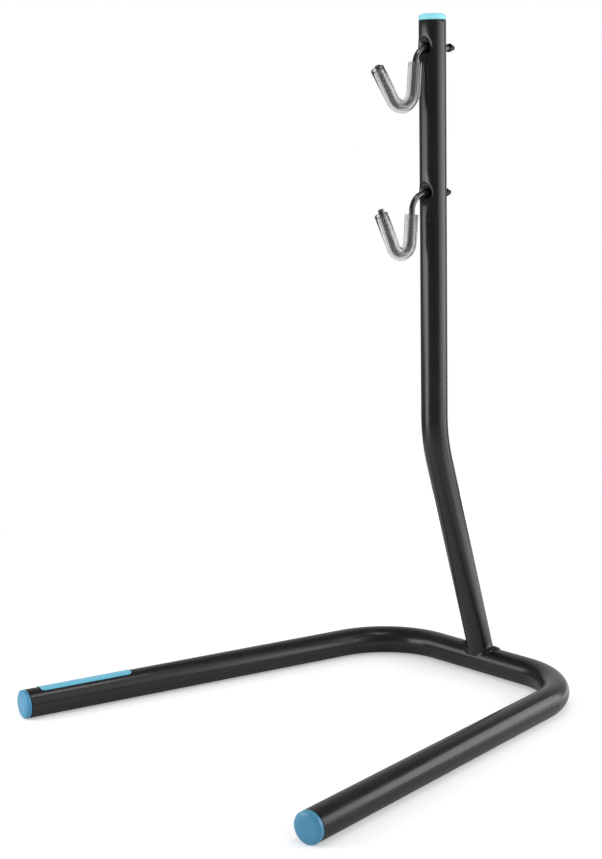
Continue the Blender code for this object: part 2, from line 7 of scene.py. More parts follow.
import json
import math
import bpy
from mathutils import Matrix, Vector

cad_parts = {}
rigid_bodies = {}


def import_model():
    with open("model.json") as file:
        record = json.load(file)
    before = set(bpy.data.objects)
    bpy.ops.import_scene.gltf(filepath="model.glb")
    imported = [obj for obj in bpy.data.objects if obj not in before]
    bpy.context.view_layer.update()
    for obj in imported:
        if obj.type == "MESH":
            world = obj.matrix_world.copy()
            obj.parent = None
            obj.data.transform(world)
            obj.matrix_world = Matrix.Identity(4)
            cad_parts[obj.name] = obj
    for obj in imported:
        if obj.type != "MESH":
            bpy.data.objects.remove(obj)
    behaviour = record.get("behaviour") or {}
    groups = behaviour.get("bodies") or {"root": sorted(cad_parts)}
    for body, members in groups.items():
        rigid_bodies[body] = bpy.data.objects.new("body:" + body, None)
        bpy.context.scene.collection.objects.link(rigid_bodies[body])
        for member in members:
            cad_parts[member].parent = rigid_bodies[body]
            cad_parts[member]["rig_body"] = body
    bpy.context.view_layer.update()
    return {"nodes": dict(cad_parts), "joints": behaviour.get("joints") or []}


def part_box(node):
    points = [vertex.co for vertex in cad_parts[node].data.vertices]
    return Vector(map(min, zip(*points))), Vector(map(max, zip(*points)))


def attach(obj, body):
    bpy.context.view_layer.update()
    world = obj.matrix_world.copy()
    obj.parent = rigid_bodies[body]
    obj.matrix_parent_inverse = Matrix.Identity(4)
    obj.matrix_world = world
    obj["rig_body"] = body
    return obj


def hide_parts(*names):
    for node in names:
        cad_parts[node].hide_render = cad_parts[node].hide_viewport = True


bl_info = {
    "name": "Bike Display Stand",
    "version": (1, 0, 0),
    "blender": (4, 5, 0),
    "location": "3D View > Sidebar > Bike Stand",
    "description": "Builds a bike display stand with swivelling hooks, and a plain studio round it",
    "category": "Object",
}

from collections import namedtuple

import bmesh
import bpy
from bpy.props import FloatProperty, FloatVectorProperty, PointerProperty
from bpy.types import Operator, Panel, PropertyGroup
from mathutils import Matrix, Vector

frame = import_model()

JOINTS = {joint["name"]: joint for joint in frame["joints"]}

RIGHT = Vector((1.0, 0.0, 0.0))
BACK = Vector((0.0, 1.0, 0.0))
UP = Vector((0.0, 0.0, 1.0))

# Each hook's shape: its stem's distance from the post's axis, its depth, its throat and arm, how far below
# the shank its hose starts, and how much of the rod shows past the hose's mouth
HookShape = namedtuple(
    "HookShape", "name reach depth throat_radius arm_lean arm_length sleeve_drop rod_showing"
)
HOOK_SHAPES = (
    HookShape(
        name="upper_hook", reach=0.0236, depth=0.05885, throat_radius=0.0164, arm_lean=math.radians(34.7),
        arm_length=0.0377, sleeve_drop=0.0151, rod_showing=0.0016,
    ),
    HookShape(
        name="lower_hook", reach=0.0295, depth=0.0601, throat_radius=0.0126, arm_lean=math.radians(26.7),
        arm_length=0.0424, sleeve_drop=0.0207, rod_showing=0.0044,
    ),
)

# Dents round the front holes of the post: a steep funnel in a shallow flat, with the metal pushed aside
DENT_DEPTH = 0.0052
DENT_SLOPE = 1.02
DENT_HALF_WIDTH = 0.0103
DENT_HALF_HEIGHT = 0.0106
DENT_ROUNDING = 0.0009
FLAT_DEPTH = 0.0014
FLAT_HALF_WIDTH = 0.0110
FLAT_HALF_HEIGHT = 0.024
BULGE_HEIGHT = 0.0007
BULGE_PLACE = 0.0125
BULGE_HALF_WIDTH = 0.0045
DENT_RING_PITCH = 0.0007
FRONT_HOLE_CLEARANCE = 0.0020
REAR_HOLE_CLEARANCE = 0.0005

# Points of the post that lie lower along it than this are its foot's rim
FOOT_RIM_HEIGHT = 0.001

# Weld round the post's foot
# How far it reaches up the post and along the crossbar, at each bearing from the front towards the right leg
BeadReach = namedtuple("BeadReach", "degrees up along")
BEAD_REACHES = (
    BeadReach(degrees=-180, up=0.0045, along=0.0035),
    BeadReach(degrees=-110, up=0.0055, along=0.0060),
    BeadReach(degrees=-46, up=0.0090, along=0.0066),
    BeadReach(degrees=-20, up=0.0035, along=0.0006),
    BeadReach(degrees=18, up=0.0025, along=0.0003),
    BeadReach(degrees=48, up=0.0050, along=0.0032),
    BeadReach(degrees=90, up=0.0060, along=0.0046),
    BeadReach(degrees=180, up=0.0045, along=0.0035),
)
BEAD_STEPS = 144
BEAD_ROWS = 8
BEAD_FULLNESS = 0.0004
BEAD_DEPTH = 0.0010
BEAD_LIFT = 0.00012
BEAD_RIPPLE = 0.04
BEAD_RIPPLES = 14
Dab = namedtuple("Dab", "along degrees radius")
SIDE_DABS = (
    Dab(along=-0.0195, degrees=10, radius=0.0052),
    Dab(along=-0.0225, degrees=16, radius=0.0044),
    Dab(along=0.0182, degrees=24, radius=0.0040),
    Dab(along=0.0185, degrees=-4, radius=0.0052),
    Dab(along=0.0215, degrees=-8, radius=0.0042),
)
DAB_FLATNESS = 0.85
DAB_HEIGHT = 0.50
DAB_SUBDIVISIONS = 4

# End caps
CAP_SIDE_HEIGHT = 0.0034
CAP_DOME_HEIGHT = 0.0031
CAP_FLAT_SHARE = 0.52
CAP_DOME_STEPS = 14
CAP_EDGE_ROUND = 0.0006
LEG_PLUG_LENGTH = 0.016
POST_PLUG_LENGTH = 0.0067
PLUG_WALL = 0.0016
PLUG_RIB_HEIGHT = 0.0007
PLUG_RIB_PITCH = 0.004
SEAT_GAP = 0.0003

# Label, measured along the left leg from its end and round it from the inner side
LABEL_LENGTH = 0.103
LABEL_END_MARGIN = 0.014
LABEL_START_ANGLE = math.radians(60)
LABEL_END_ANGLE = math.radians(150)
LABEL_CORNER_RADIUS = 0.004
LABEL_CORNER_STEPS = 8
LABEL_THICKNESS = 0.00025
LABEL_STRIPS = 36

# Tube and rod ends, thread and nut
TUBE_LIP = 0.0004
HOSE_LIP = 0.0003
LIP_STEPS = 3
ROD_CHAMFER = 0.0005
ROD_CHAMFER_STEPS = 4
SHOULDER_LENGTH = 0.0005
THREAD_PITCH = 0.0008
THREAD_DEPTH = 0.00035
NUT_COLLAR_HEIGHT = 0.0014
NUT_COLLAR_DIAMETER = 0.0072
NUT_CHAMFER = 0.0006
NUT_COLLAR_ROUND = 0.3 * NUT_CHAMFER
NUT_FACE_SHARE = 0.96
NUT_FLATS = 6
NUT_TURN = math.radians(-20)

# Fineness of round surfaces
TUBE_SIDES = 128
POST_SIDES = 192
ROD_SIDES = 40
HOSE_SIDES = 64
DRILL_SIDES = 64
NUT_SIDES = 72
FLOOR_SIDES = 96
BEND_STEP = math.radians(2.0)
ROD_BEND_STEP = math.radians(3.0)
SMOOTH_ANGLE = math.radians(38)
MERGE_DISTANCE = 0.000001

# Shaders
DUST_COLOUR = (0.35, 0.34, 0.32, 1.0)
WHITE = (1.0, 1.0, 1.0, 1.0)
FLOAT = "NodeSocketFloat"
VECTOR = "NodeSocketVector"
COLOUR = "NodeSocketColor"

# Studio floor
FLOOR_RADIUS = 0.95
FLOOR_FADE_START = 0.55

# Soft lights in glossy surfaces: where along a direction each starts and is full, and its gain. The floor's
# are painted light: a glow that the floor shows only to mirrors, as if lamps lit it to the right of and behind
# the stand
SoftLight = namedtuple("SoftLight", "direction start end gain")
ROOM_LIGHTS = (
    SoftLight(direction=(-0.66, 0.70, 0.28), start=0.70, end=0.96, gain=0.47),
    SoftLight(direction=(0.85, 0.27, 0.45), start=0.80, end=0.97, gain=1.0),
    SoftLight(direction=(-0.40, -0.87, -0.28), start=0.965, end=0.995, gain=2.2),
)
FLOOR_PAINTED_GLOWS = (
    SoftLight(direction=(1.0, 0.0, 0.0), start=0.02, end=0.20, gain=1.0),
    SoftLight(direction=(0.0, 1.0, 0.0), start=0.02, end=0.15, gain=1.6),
)

# Light panels: where each stands, what it faces, its size and its power in watts
LightPanel = namedtuple("LightPanel", "name place aim width height power")
PANELS = (
    LightPanel("top_right_panel", (0.35, -0.27, 1.45), (0.0, -0.10, 0.60), 0.40, 0.40, 1.0),
    LightPanel("bend_panel", (0.38, -0.29, 1.42), (0.0, -0.10, 0.68), 0.20, 0.20, 1.2),
    LightPanel("left_panel", (-0.841, -0.926, 0.455), (0.0, -0.07, 0.455), 0.53, 0.43, 2.1),
    LightPanel("front_panel", (-0.391, -1.205, 0.34), (0.0, -0.07, 0.34), 0.554, 0.64, 4.1),
    LightPanel("right_panel", (1.105, 0.247, 0.42), (0.0, -0.07, 0.42), 0.49, 0.74, 1.6),
    LightPanel("rear_panel", (0.716, 0.830, 0.46), (0.0, -0.07, 0.46), 1.00, 0.76, 7.6),
)

# Camera, set by the photograph's view
CAMERA_PLACE = (1.2594, -1.3539, 0.5920)
CAMERA_AZIMUTH = math.radians(48.99)
CAMERA_ELEVATION = math.radians(9.74)
CAMERA_ROLL = math.radians(-1.07)
CAMERA_LENS = 72.07


# Settings


def size(name, description, default):
    """A length that the panel shows."""
    return FloatProperty(name=name, description=description, default=default, unit="LENGTH")


def turn(name, description, default):
    """An angle that the panel shows."""
    return FloatProperty(name=name, description=description, default=default, unit="ROTATION")


def tint(name, description, default):
    """A colour that the panel shows."""
    return FloatVectorProperty(name=name, description=description, default=default, subtype="COLOR")


def brightness(name, description, default):
    """A strength of light that the panel shows."""
    return FloatProperty(name=name, description=description, default=default)


class StandSizes(PropertyGroup):
    """Sizes of the tubes that make the stand."""

    base_diameter: size("Base tube", "Outer diameter of the base tube", 0.030)
    crossbar_length: size("Crossbar", "Distance between the base tube's two corners", 0.276)
    leg_length: size("Leg", "Length of a leg from its corner to its open end", 0.457)
    leg_splay: turn("Splay", "How far each leg turns outwards", math.radians(10.6))
    base_bend_radius: size("Base bend", "Radius of the base tube's bends", 0.085)
    tube_wall: size("Wall", "Thickness of the tubes' walls", 0.0015)
    post_diameter: size("Post", "Outer diameter of the post", 0.028)
    post_set_back: size("Set-back", "How far the foot lies behind the crossbar's axis", 0.0026)
    post_lean: turn("Lean", "Lean of the post's lower part", math.radians(16.12))
    post_foot_length: size("Lower part", "Length of the post from its foot to its knee", 0.2678)
    post_bend_radius: size("Knee bend", "Radius of the post's knee", 0.176)


class HookSizes(PropertyGroup):
    """Sizes that both hooks share."""

    rod_diameter: size("Rod", "Diameter of the hooks' rods", 0.006)
    shank_bend_radius: size("Shank bend", "Radius of the bend in front of the post", 0.018)
    stem_lean: turn("Stem lean", "How far a stem leans away from the post", math.radians(5.3))
    shank_length: size("Shank", "Length of a shank from its corner to its thread's end", 0.0541)
    thread_diameter: size("Thread", "Outer diameter of the thread", 0.005)
    thread_showing: size("Thread behind nut", "Thread that stands out behind the nut", 0.003)
    nut_width: size("Nut", "Width of a nut across its flats", 0.008)
    nut_height: size("Nut height", "Height of a nut with its collar", 0.005)
    hose_diameter: size("Hose", "Outer diameter of the clear hoses", 0.014)
    hose_wall: size("Hose wall", "Thickness of the clear hoses' walls", 0.002)


class StandFinishes(PropertyGroup):
    """Colours of the finishes."""

    coat_colour: tint("Coat", "Powder coat of the tubes", (0.006, 0.006, 0.0065))
    rod_colour: tint("Rods", "Finish of the hooks' rods and nuts", (0.010, 0.010, 0.011))
    cap_colour: tint("Leg caps", "Plastic of the legs' end caps", (0.058, 0.255, 0.420))
    # The post cap is the same blue plastic as the leg caps; its paler colour is painted light, standing in for
    # the stronger light that falls on it from above.
    post_cap_colour_with_painted_light: tint("Post cap", "Plastic of the post's end cap", (0.300, 0.780, 0.900))
    label_colour: tint("Label", "Ground of the label", (0.150, 0.500, 0.680))
    hose_colour: tint("Hoses", "Tint of the clear hoses", (0.69, 0.70, 0.70))


class StudioSettings(PropertyGroup):
    """The studio's light and floor."""

    floor_colour: tint("Floor", "Colour of the floor", (0.82, 0.82, 0.82))
    floor_lift: brightness("Floor lift", "Light that the floor adds for the camera", 0.35)
    panel_gain: brightness("Panels", "Brightness of all light panels", 1.0)
    room_light: brightness("Room", "Brightness with which the room lights the stand", 0.60)
    room_mirror: brightness("Room mirrored", "Brightness of the room in glossy surfaces", 0.20)


# Shader building


def new_material(name):
    """A material with one Principled shader. Returns the material, its tree and its shader."""
    material = bpy.data.materials.new(name)
    material.use_nodes = True
    return material, material.node_tree, material.node_tree.nodes["Principled BSDF"]


def feed(tree, node, inputs):
    """Gives a node's inputs, by name or number, a constant or another node's output."""
    for label, value in inputs.items():
        if isinstance(value, bpy.types.NodeSocket):
            tree.links.new(value, node.inputs[label])
        else:
            node.inputs[label].default_value = value


def add_node(tree, kind, inputs=None, **settings):
    """A node with its settings and inputs."""
    node = tree.nodes.new(kind)
    for label, value in settings.items():
        setattr(node, label, value)
    feed(tree, node, inputs or {})
    return node


def noise(tree, place, scale, detail, roughness=0.5):
    inputs = {"Vector": place, "Scale": scale, "Detail": detail, "Roughness": roughness}
    return add_node(tree, "ShaderNodeTexNoise", inputs).outputs["Fac"]


def remap(tree, value, low, high, new_low=0.0, new_high=1.0):
    """A value carried from one range to another, and kept inside it."""
    inputs = {"Value": value, "From Min": low, "From Max": high, "To Min": new_low, "To Max": new_high}
    return add_node(tree, "ShaderNodeMapRange", inputs).outputs["Result"]


def arithmetic(tree, operation, first, *others):
    """One Math operation over several values from left to right, each a socket or a number."""
    result = first
    for value in others:
        node = add_node(tree, "ShaderNodeMath", {0: result, 1: value}, operation=operation)
        result = node.outputs["Value"]
    return result


def mixed_colour(tree, factor, first, second):
    """A mix of two colours, each a socket or four numbers."""
    node = add_node(tree, "ShaderNodeMix", {"Factor": factor}, data_type="RGBA")
    places = [number for number, socket in enumerate(node.inputs) if socket.type == "RGBA"]
    feed(tree, node, dict(zip(places, (first, second))))
    return next(socket for socket in node.outputs if socket.type == "RGBA")


def object_place(tree):
    return add_node(tree, "ShaderNodeTexCoord").outputs["Object"]


def opaque(colour, gain=1.0):
    """A colour with its brightness multiplied, as four numbers."""
    return (*(min(1.0, channel * gain) for channel in colour), 1.0)


def new_group(name, inputs, outputs):
    """An empty shader group. Returns it, its given values and the node for its results."""
    group = bpy.data.node_groups.new(name, "ShaderNodeTree")
    for side, sockets in (("INPUT", inputs), ("OUTPUT", outputs)):
        for label, kind in sockets.items():
            group.interface.new_socket(name=label, in_out=side, socket_type=kind)
    return group, group.nodes.new("NodeGroupInput").outputs, group.nodes.new("NodeGroupOutput")


def mottle_group(name):
    """Faint unevenness of a finish: two colours in soft clouds, and a roughness to match."""
    inputs = {
        "Vector": VECTOR,
        "Colour": COLOUR,
        "Lighter": COLOUR,
        "Cloud Scale": FLOAT,
        "Roughness": FLOAT,
        "Roughness Spread": FLOAT,
    }
    group, given, end = new_group(name, inputs, {"Colour": COLOUR, "Roughness": FLOAT})
    clouds = noise(group, given["Vector"], given["Cloud Scale"], detail=4.0, roughness=0.6)
    share = remap(group, clouds, low=0.35, high=0.70)
    colour = mixed_colour(group, share, given["Colour"], given["Lighter"])
    offset = remap(group, clouds, low=0.3, high=0.7, new_low=-0.5, new_high=0.5)
    spread = arithmetic(group, "MULTIPLY", offset, given["Roughness Spread"])
    roughness = arithmetic(group, "ADD", spread, given["Roughness"])
    feed(group, end, {"Colour": colour, "Roughness": roughness})
    return group


def skin_group(name):
    """Relief of a sprayed or moulded skin: a fine pebbled grain on slower waves, as a height."""
    inputs = {"Vector": VECTOR, "Grain Scale": FLOAT, "Wave Scale": FLOAT, "Wave Share": FLOAT}
    group, given, end = new_group(name, inputs, {"Height": FLOAT})
    grain = noise(group, given["Vector"], given["Grain Scale"], detail=2.0)
    wave = noise(group, given["Vector"], given["Wave Scale"], detail=1.0)
    waves = arithmetic(group, "MULTIPLY", wave, given["Wave Share"])
    feed(group, end, {"Height": arithmetic(group, "ADD", grain, waves)})
    return group


def dust_group(name):
    """A mask of light dust on upward faces, broken up by fine specks."""
    group, given, end = new_group(name, {"Vector": VECTOR, "Amount": FLOAT}, {"Mask": FLOAT})
    normal = add_node(group, "ShaderNodeNewGeometry").outputs["Normal"]
    parts = add_node(group, "ShaderNodeSeparateXYZ", {"Vector": normal})
    upward = remap(group, parts.outputs["Z"], low=0.2, high=1.0)
    fine = noise(group, given["Vector"], scale=700.0, detail=3.0)
    broad = noise(group, given["Vector"], scale=22.0, detail=3.0)
    specks = remap(group, fine, low=0.55, high=0.72)
    patches = remap(group, broad, low=0.35, high=0.75, new_low=0.2)
    mask = arithmetic(group, "MULTIPLY", specks, patches, upward, given["Amount"])
    feed(group, end, {"Mask": mask})
    return group


def use_group(tree, name, build, inputs):
    """A shared shader group in a material, built at its first use."""
    group = bpy.data.node_groups.get(name) or build(name)
    return add_node(tree, "ShaderNodeGroup", inputs, node_tree=group).outputs


def add_relief(tree, shader, place, grain, waves, wave_share, relief):
    """Gives a shader the relief of a skin, by the scales of its grain and waves and its height."""
    inputs = {"Vector": place, "Grain Scale": grain, "Wave Scale": waves, "Wave Share": wave_share}
    skin = use_group(tree, "skin_relief", skin_group, inputs)
    bump = add_node(tree, "ShaderNodeBump", {"Strength": 1.0, "Distance": relief, "Height": skin["Height"]})
    feed(tree, shader, {"Normal": bump.outputs["Normal"]})


def finish_material(
    name, colour, lighter, clouds, roughness, spread, grain, waves, wave_share, relief, dust, **settings
):
    """An opaque finish: clouds of a lighter colour, roughness with a spread, a skin's relief, and dust."""
    material, tree, shader = new_material(name)
    place = object_place(tree)
    inputs = {
        "Vector": place,
        "Colour": opaque(colour),
        "Lighter": opaque(colour, lighter),
        "Cloud Scale": clouds,
        "Roughness": roughness,
        "Roughness Spread": spread,
    }
    uneven = use_group(tree, "uneven_finish", mottle_group, inputs)
    settled = use_group(tree, "settled_dust", dust_group, {"Vector": place, "Amount": dust})
    dusty = mixed_colour(tree, settled["Mask"], uneven["Colour"], DUST_COLOUR)
    rough = arithmetic(tree, "ADD", uneven["Roughness"], settled["Mask"])
    feed(tree, shader, {"Base Color": dusty, "Roughness": rough, **settings})
    add_relief(tree, shader, place, grain, waves, wave_share, relief)
    return material


def coat_material(colour):
    """Semi-gloss black powder coat with its orange peel."""
    return finish_material(
        "black_powder_coat", colour, lighter=1.5, clouds=30.0, roughness=0.26, spread=0.06,
        grain=620.0, waves=160.0, wave_share=0.8, relief=0.000018, dust=0.10, IOR=1.5,
    )


def rod_material(colour):
    """Glossy black finish of the drawn rods."""
    return finish_material(
        "black_rod_finish", colour, lighter=1.6, clouds=90.0, roughness=0.16, spread=0.08,
        grain=1500.0, waves=240.0, wave_share=0.6, relief=0.000006, dust=0.06, IOR=1.8,
    )


def nut_material(colour):
    """Black oxide on steel, slightly worn."""
    return finish_material(
        "black_oxide_steel", colour, lighter=3.0, clouds=400.0, roughness=0.32, spread=0.15,
        grain=2200.0, waves=500.0, wave_share=0.5, relief=0.000010, dust=0.05, Metallic=0.7,
    )


def cap_material(name, colour):
    """Moulded blue plastic of an end cap."""
    return finish_material(
        name, colour, lighter=1.10, clouds=60.0, roughness=0.34, spread=0.06,
        grain=1400.0, waves=120.0, wave_share=1.0, relief=0.000010, dust=0.12,
    )


def label_material(colour):
    """Glossy printed vinyl of the plain label."""
    return finish_material(
        "blue_label_vinyl", colour, lighter=1.12, clouds=70.0, roughness=0.20, spread=0.05,
        grain=900.0, waves=60.0, wave_share=1.4, relief=0.000012, dust=0.08,
    )


def hose_material(colour):
    """Clear flexible hose, faintly hazy."""
    material, tree, shader = new_material("clear_hose")
    place = object_place(tree)
    clouds = noise(tree, place, scale=40.0, detail=2.0)
    haze = remap(tree, clouds, low=0.3, high=0.7, new_low=0.07, new_high=0.10)
    inputs = {"Base Color": opaque(colour), "Roughness": haze, "Transmission Weight": 0.97, "IOR": 1.34}
    feed(tree, shader, inputs)
    add_relief(tree, shader, place, grain=90.0, waves=40.0, wave_share=2.0, relief=0.000006)
    return material


# Mesh building


def of_kind(geometry, kind):
    return [item for item in geometry if isinstance(item, kind)]


def region(faces):
    """The faces with their edges and vertices, in a steady order."""
    edges = dict.fromkeys(edge for face in faces for edge in face.edges)
    verts = dict.fromkeys(vert for face in faces for vert in face.verts)
    return [*faces, *edges, *verts]


def rim_edges(faces):
    """The edges round a patch of faces."""
    patch = set(faces)
    edges = dict.fromkeys(edge for face in faces for edge in face.edges)
    return [edge for edge in edges if sum(face in patch for face in edge.link_faces) == 1]


def facing_matrix(place, direction):
    """Carries +Z to a direction and the origin to a place."""
    return Matrix.Translation(place) @ direction.to_track_quat("Z", "Y").to_matrix().to_4x4()


def axis_matrix(place, z_axis, x_axis):
    """Carries +Z to one axis, +X to another and the origin to a place."""
    up = z_axis.normalized()
    side = x_axis.normalized()
    return Matrix.Translation(place) @ Matrix((side, up.cross(side), up)).transposed().to_4x4()


def start_disc(shape, radius, sides, place, direction):
    """A flat round face, square to a direction."""
    matrix = facing_matrix(place, direction)
    disc = bmesh.ops.create_circle(shape, cap_ends=True, segments=sides, radius=radius, matrix=matrix)
    return list(disc["verts"][0].link_faces)


def start_annulus(shape, radius, wall, sides, place, direction):
    """A flat ring of faces, square to a direction."""
    disc = start_disc(shape, radius, sides, place, direction)
    ring = bmesh.ops.inset_region(
        shape, faces=disc, thickness=wall, use_boundary=True, use_even_offset=True
    )["faces"]
    bmesh.ops.delete(shape, geom=disc, context="FACES_ONLY")
    return ring


def resize_end(faces, radius):
    """Sets the radius of a round end."""
    centre = faces[0].calc_center_median()
    for vert in faces[0].verts:
        vert.co = centre + (vert.co - centre).normalized() * radius


def push_end(shape, faces, travel):
    """Extrudes an end along a straight run. Returns the new end's faces."""
    grown = bmesh.ops.extrude_face_region(shape, geom=region(faces))["geom"]
    bmesh.ops.translate(shape, verts=of_kind(grown, bmesh.types.BMVert), vec=travel)
    return of_kind(grown, bmesh.types.BMFace)


def spin(shape, geometry, centre, axis, angle, steps, closed=False):
    """Spins geometry about an axis. Returns what stands at the end of its way."""
    return bmesh.ops.spin(
        shape,
        geom=geometry,
        cent=centre,
        axis=axis,
        angle=angle,
        steps=steps,
        use_duplicate=False,
        use_merge=closed,
    )["geom_last"]


def carry_end(shape, faces, corners, radii, step):
    """Carries an end along a route of straight runs and bends. Returns the last faces."""
    here = corners[0]
    for before, corner, after, radius in zip(corners, corners[1:], corners[2:], radii):
        onward = (corner - before).normalized()
        outgoing = (after - corner).normalized()
        angle = onward.angle(outgoing)
        tangent_length = radius * math.tan(angle / 2)
        bend_start = corner - onward * tangent_length
        faces = push_end(shape, faces, bend_start - here)
        inward = (outgoing - onward * outgoing.dot(onward)).normalized()
        axis = onward.cross(outgoing).normalized()
        centre = bend_start + inward * radius
        bent = spin(shape, region(faces), centre, axis, angle, math.ceil(angle / step))
        faces = of_kind(bent, bmesh.types.BMFace)
        here = corner + outgoing * tangent_length
    return push_end(shape, faces, corners[-1] - here)


def round_off(shape, geometry, width, steps, kind="EDGES"):
    """Rounds edges, or a flat shape's corners."""
    bmesh.ops.recalc_face_normals(shape, faces=shape.faces)
    bmesh.ops.bevel(
        shape, geom=geometry, offset=width, segments=steps, profile=0.5, affect=kind, material=-1
    )


def tube_shell(radius, wall, sides, corners, radii, step, lip):
    """A tube with a real wall along a route, its two ends rounded by a lip."""
    shape = bmesh.new()
    first = start_annulus(shape, radius, wall, sides, corners[0], corners[1] - corners[0])
    last = carry_end(shape, first, corners, radii, step)
    round_off(shape, rim_edges(first) + rim_edges(last), lip, LIP_STEPS)
    return shape


def close_skin(shape):
    """Joins what meets in one place, and turns the faces outwards."""
    bmesh.ops.remove_doubles(shape, verts=shape.verts, dist=MERGE_DISTANCE)
    bmesh.ops.recalc_face_normals(shape, faces=shape.faces)


def spin_profile(profile, steps, closed=False):
    """Turns a profile of (radius, height) points all round +Z into a closed skin."""
    shape = bmesh.new()
    verts = [shape.verts.new((radius, 0.0, height)) for radius, height in profile]
    pairs = list(zip(verts, verts[1:]))
    if closed:
        pairs.append((verts[-1], verts[0]))
    edges = [shape.edges.new(pair) for pair in pairs]
    spin(shape, verts + edges, (0.0, 0.0, 0.0), UP, 2 * math.pi, steps, closed=True)
    close_skin(shape)
    return shape


def slice_shape(shape, place, normal, clear_outer=False):
    """Cuts all faces along a plane. Returns the cut's edges."""
    cut = bmesh.ops.bisect_plane(
        shape,
        geom=[*shape.verts, *shape.edges, *shape.faces],
        plane_co=place,
        plane_no=normal,
        clear_outer=clear_outer,
    )
    return of_kind(cut["geom_cut"], bmesh.types.BMEdge)


def add_object(name, data):
    """A new object in the scene."""
    item = bpy.data.objects.new(name, data)
    bpy.context.scene.collection.objects.link(item)
    return item


def mesh_object(name, shape):
    """A new object made of a bmesh, which ends with it."""
    mesh = bpy.data.meshes.new(name)
    shape.to_mesh(mesh)
    shape.free()
    return add_object(name, mesh)


def dress_piece(piece, material, node):
    """Gives a piece its material and smooth shading, and ties it to its node."""
    piece.data.materials.clear()
    piece.data.materials.append(material)
    piece.data.shade_smooth()
    piece.data.set_sharp_from_angle(angle=SMOOTH_ANGLE)
    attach(piece, frame["nodes"][node]["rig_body"])
    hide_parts(node)


def settle_modifiers(piece):
    """Replaces a piece's mesh by what its modifiers make of it, and clears them."""
    evaluated = piece.evaluated_get(bpy.context.evaluated_depsgraph_get())
    settled = bpy.data.meshes.new_from_object(evaluated)
    old = piece.data
    piece.modifiers.clear()
    piece.data = settled
    bpy.data.meshes.remove(old)


# Geometry of the stand


def leg_direction(sizes, side):
    """Unit vector along a leg towards its open end; side is -1 for the left leg and 1 for the right."""
    return Vector((side * math.sin(sizes.leg_splay), -math.cos(sizes.leg_splay), 0.0))


def leg_corner(sizes, side):
    return Vector((side * sizes.crossbar_length / 2, 0.0, sizes.base_diameter / 2))


def leg_end(sizes, side):
    return leg_corner(sizes, side) + leg_direction(sizes, side) * sizes.leg_length


def leaning(angle):
    """Unit vector that leans forwards from +Z by an angle."""
    return Vector((0.0, -math.sin(angle), math.cos(angle)))


def foot_place(sizes):
    """Where the post's axis starts, at the height of the crossbar's axis."""
    return Vector((0.0, sizes.post_set_back, sizes.base_diameter / 2))


def crossbar_hit(sizes, start):
    """How far up the post's direction a point has to go to lie on the crossbar's surface."""
    along = leaning(sizes.post_lean)
    radius = sizes.base_diameter / 2
    low = Vector((0.0, start.y, start.z - radius))
    slope = along.dot(low)
    return math.sqrt(max(0.0, slope**2 - low.length_squared + radius**2)) - slope


def hook_pivot(hook):
    """A point on a hook's swivel axis, at the post's axis."""
    return Vector(JOINTS[hook.name + "_swivel"]["pos_m"])


def stem_point(hook, sizes, drop):
    """A point of a hook's stem line, at a drop below the shank."""
    return hook_pivot(hook) + Vector((0.0, -hook.reach - math.tan(sizes.stem_lean) * drop, -drop))


def arm_line(hook, sizes, arm_lean, length):
    """Where an arm's line would cross the stem's, and the arm's end, a length above its throat."""
    half_opening = (sizes.stem_lean + arm_lean) / 2
    bisector_tilt = (arm_lean - sizes.stem_lean) / 2
    rise = hook.throat_radius * math.cos(bisector_tilt) / math.sin(half_opening)
    corner = stem_point(hook, sizes, hook.depth - hook.throat_radius + rise)
    arm_length = hook.throat_radius / math.tan(half_opening) + length
    return corner, corner + leaning(arm_lean) * arm_length


def thread_end(hook, sizes):
    return stem_point(hook, sizes, 0.0) + BACK * sizes.shank_length


# Pieces


def build_base_tube(sizes, material):
    """The base tube, bent twice, with its open ends under the caps."""
    radius = sizes.base_diameter / 2
    corners = [leg_end(sizes, -1), leg_corner(sizes, -1), leg_corner(sizes, 1), leg_end(sizes, 1)]
    bends = [sizes.base_bend_radius] * 2
    shape = tube_shell(radius, sizes.tube_wall, TUBE_SIDES, corners, bends, BEND_STEP, TUBE_LIP)
    dress_piece(mesh_object("coated_base_tube", shape), material, "base_tube")


def bump_shape(offset, half_width):
    """A smooth bump that is 1 at its middle and 0 outside its half width."""
    return max(0.0, 1.0 - (offset / half_width) ** 2) ** 2


def dent_depth(rise, around):
    """How deep the post is pushed in at a height above a hole and a distance round the post from it."""
    reach = math.hypot(rise / DENT_HALF_HEIGHT, around / DENT_HALF_WIDTH)
    inside = (1.0 - reach) * DENT_HALF_WIDTH
    funnel = DENT_SLOPE * DENT_ROUNDING * math.log1p(math.exp(inside / DENT_ROUNDING))
    fade = bump_shape(rise, FLAT_HALF_HEIGHT)
    flat = bump_shape(around, FLAT_HALF_WIDTH) * fade
    bulge = bump_shape(around + BULGE_PLACE, BULGE_HALF_WIDTH) * bump_shape(rise, DENT_HALF_HEIGHT)
    return min(DENT_DEPTH, funnel) * fade + FLAT_DEPTH * flat - BULGE_HEIGHT * bulge


def press_dents(shape, sizes, axis_y):
    """Pushes the front of the post in round each hole."""
    radius = sizes.post_diameter / 2
    for hook in HOOK_SHAPES:
        height = hook_pivot(hook).z
        for vert in shape.verts:
            rise = vert.co.z - height
            if abs(rise) < FLAT_HALF_HEIGHT:
                radial = Vector((vert.co.x, vert.co.y - axis_y, 0.0))
                around = radius * math.atan2(radial.x, -radial.y)
                vert.co -= radial.normalized() * dent_depth(rise, around)


def drill(piece, radius, start, end):
    """Cuts a round hole through a piece, from one point to another."""
    shape = bmesh.new()
    bmesh.ops.create_cone(
        shape,
        cap_ends=True,
        segments=DRILL_SIDES,
        radius1=radius,
        radius2=radius,
        depth=(end - start).length,
        matrix=facing_matrix((start + end) / 2, end - start),
    )
    cutter = mesh_object("drill", shape)
    cut = piece.modifiers.new("Hole", "BOOLEAN")
    cut.operation = "DIFFERENCE"
    cut.object = cutter
    settle_modifiers(piece)
    bpy.data.objects.remove(cutter, do_unlink=True)


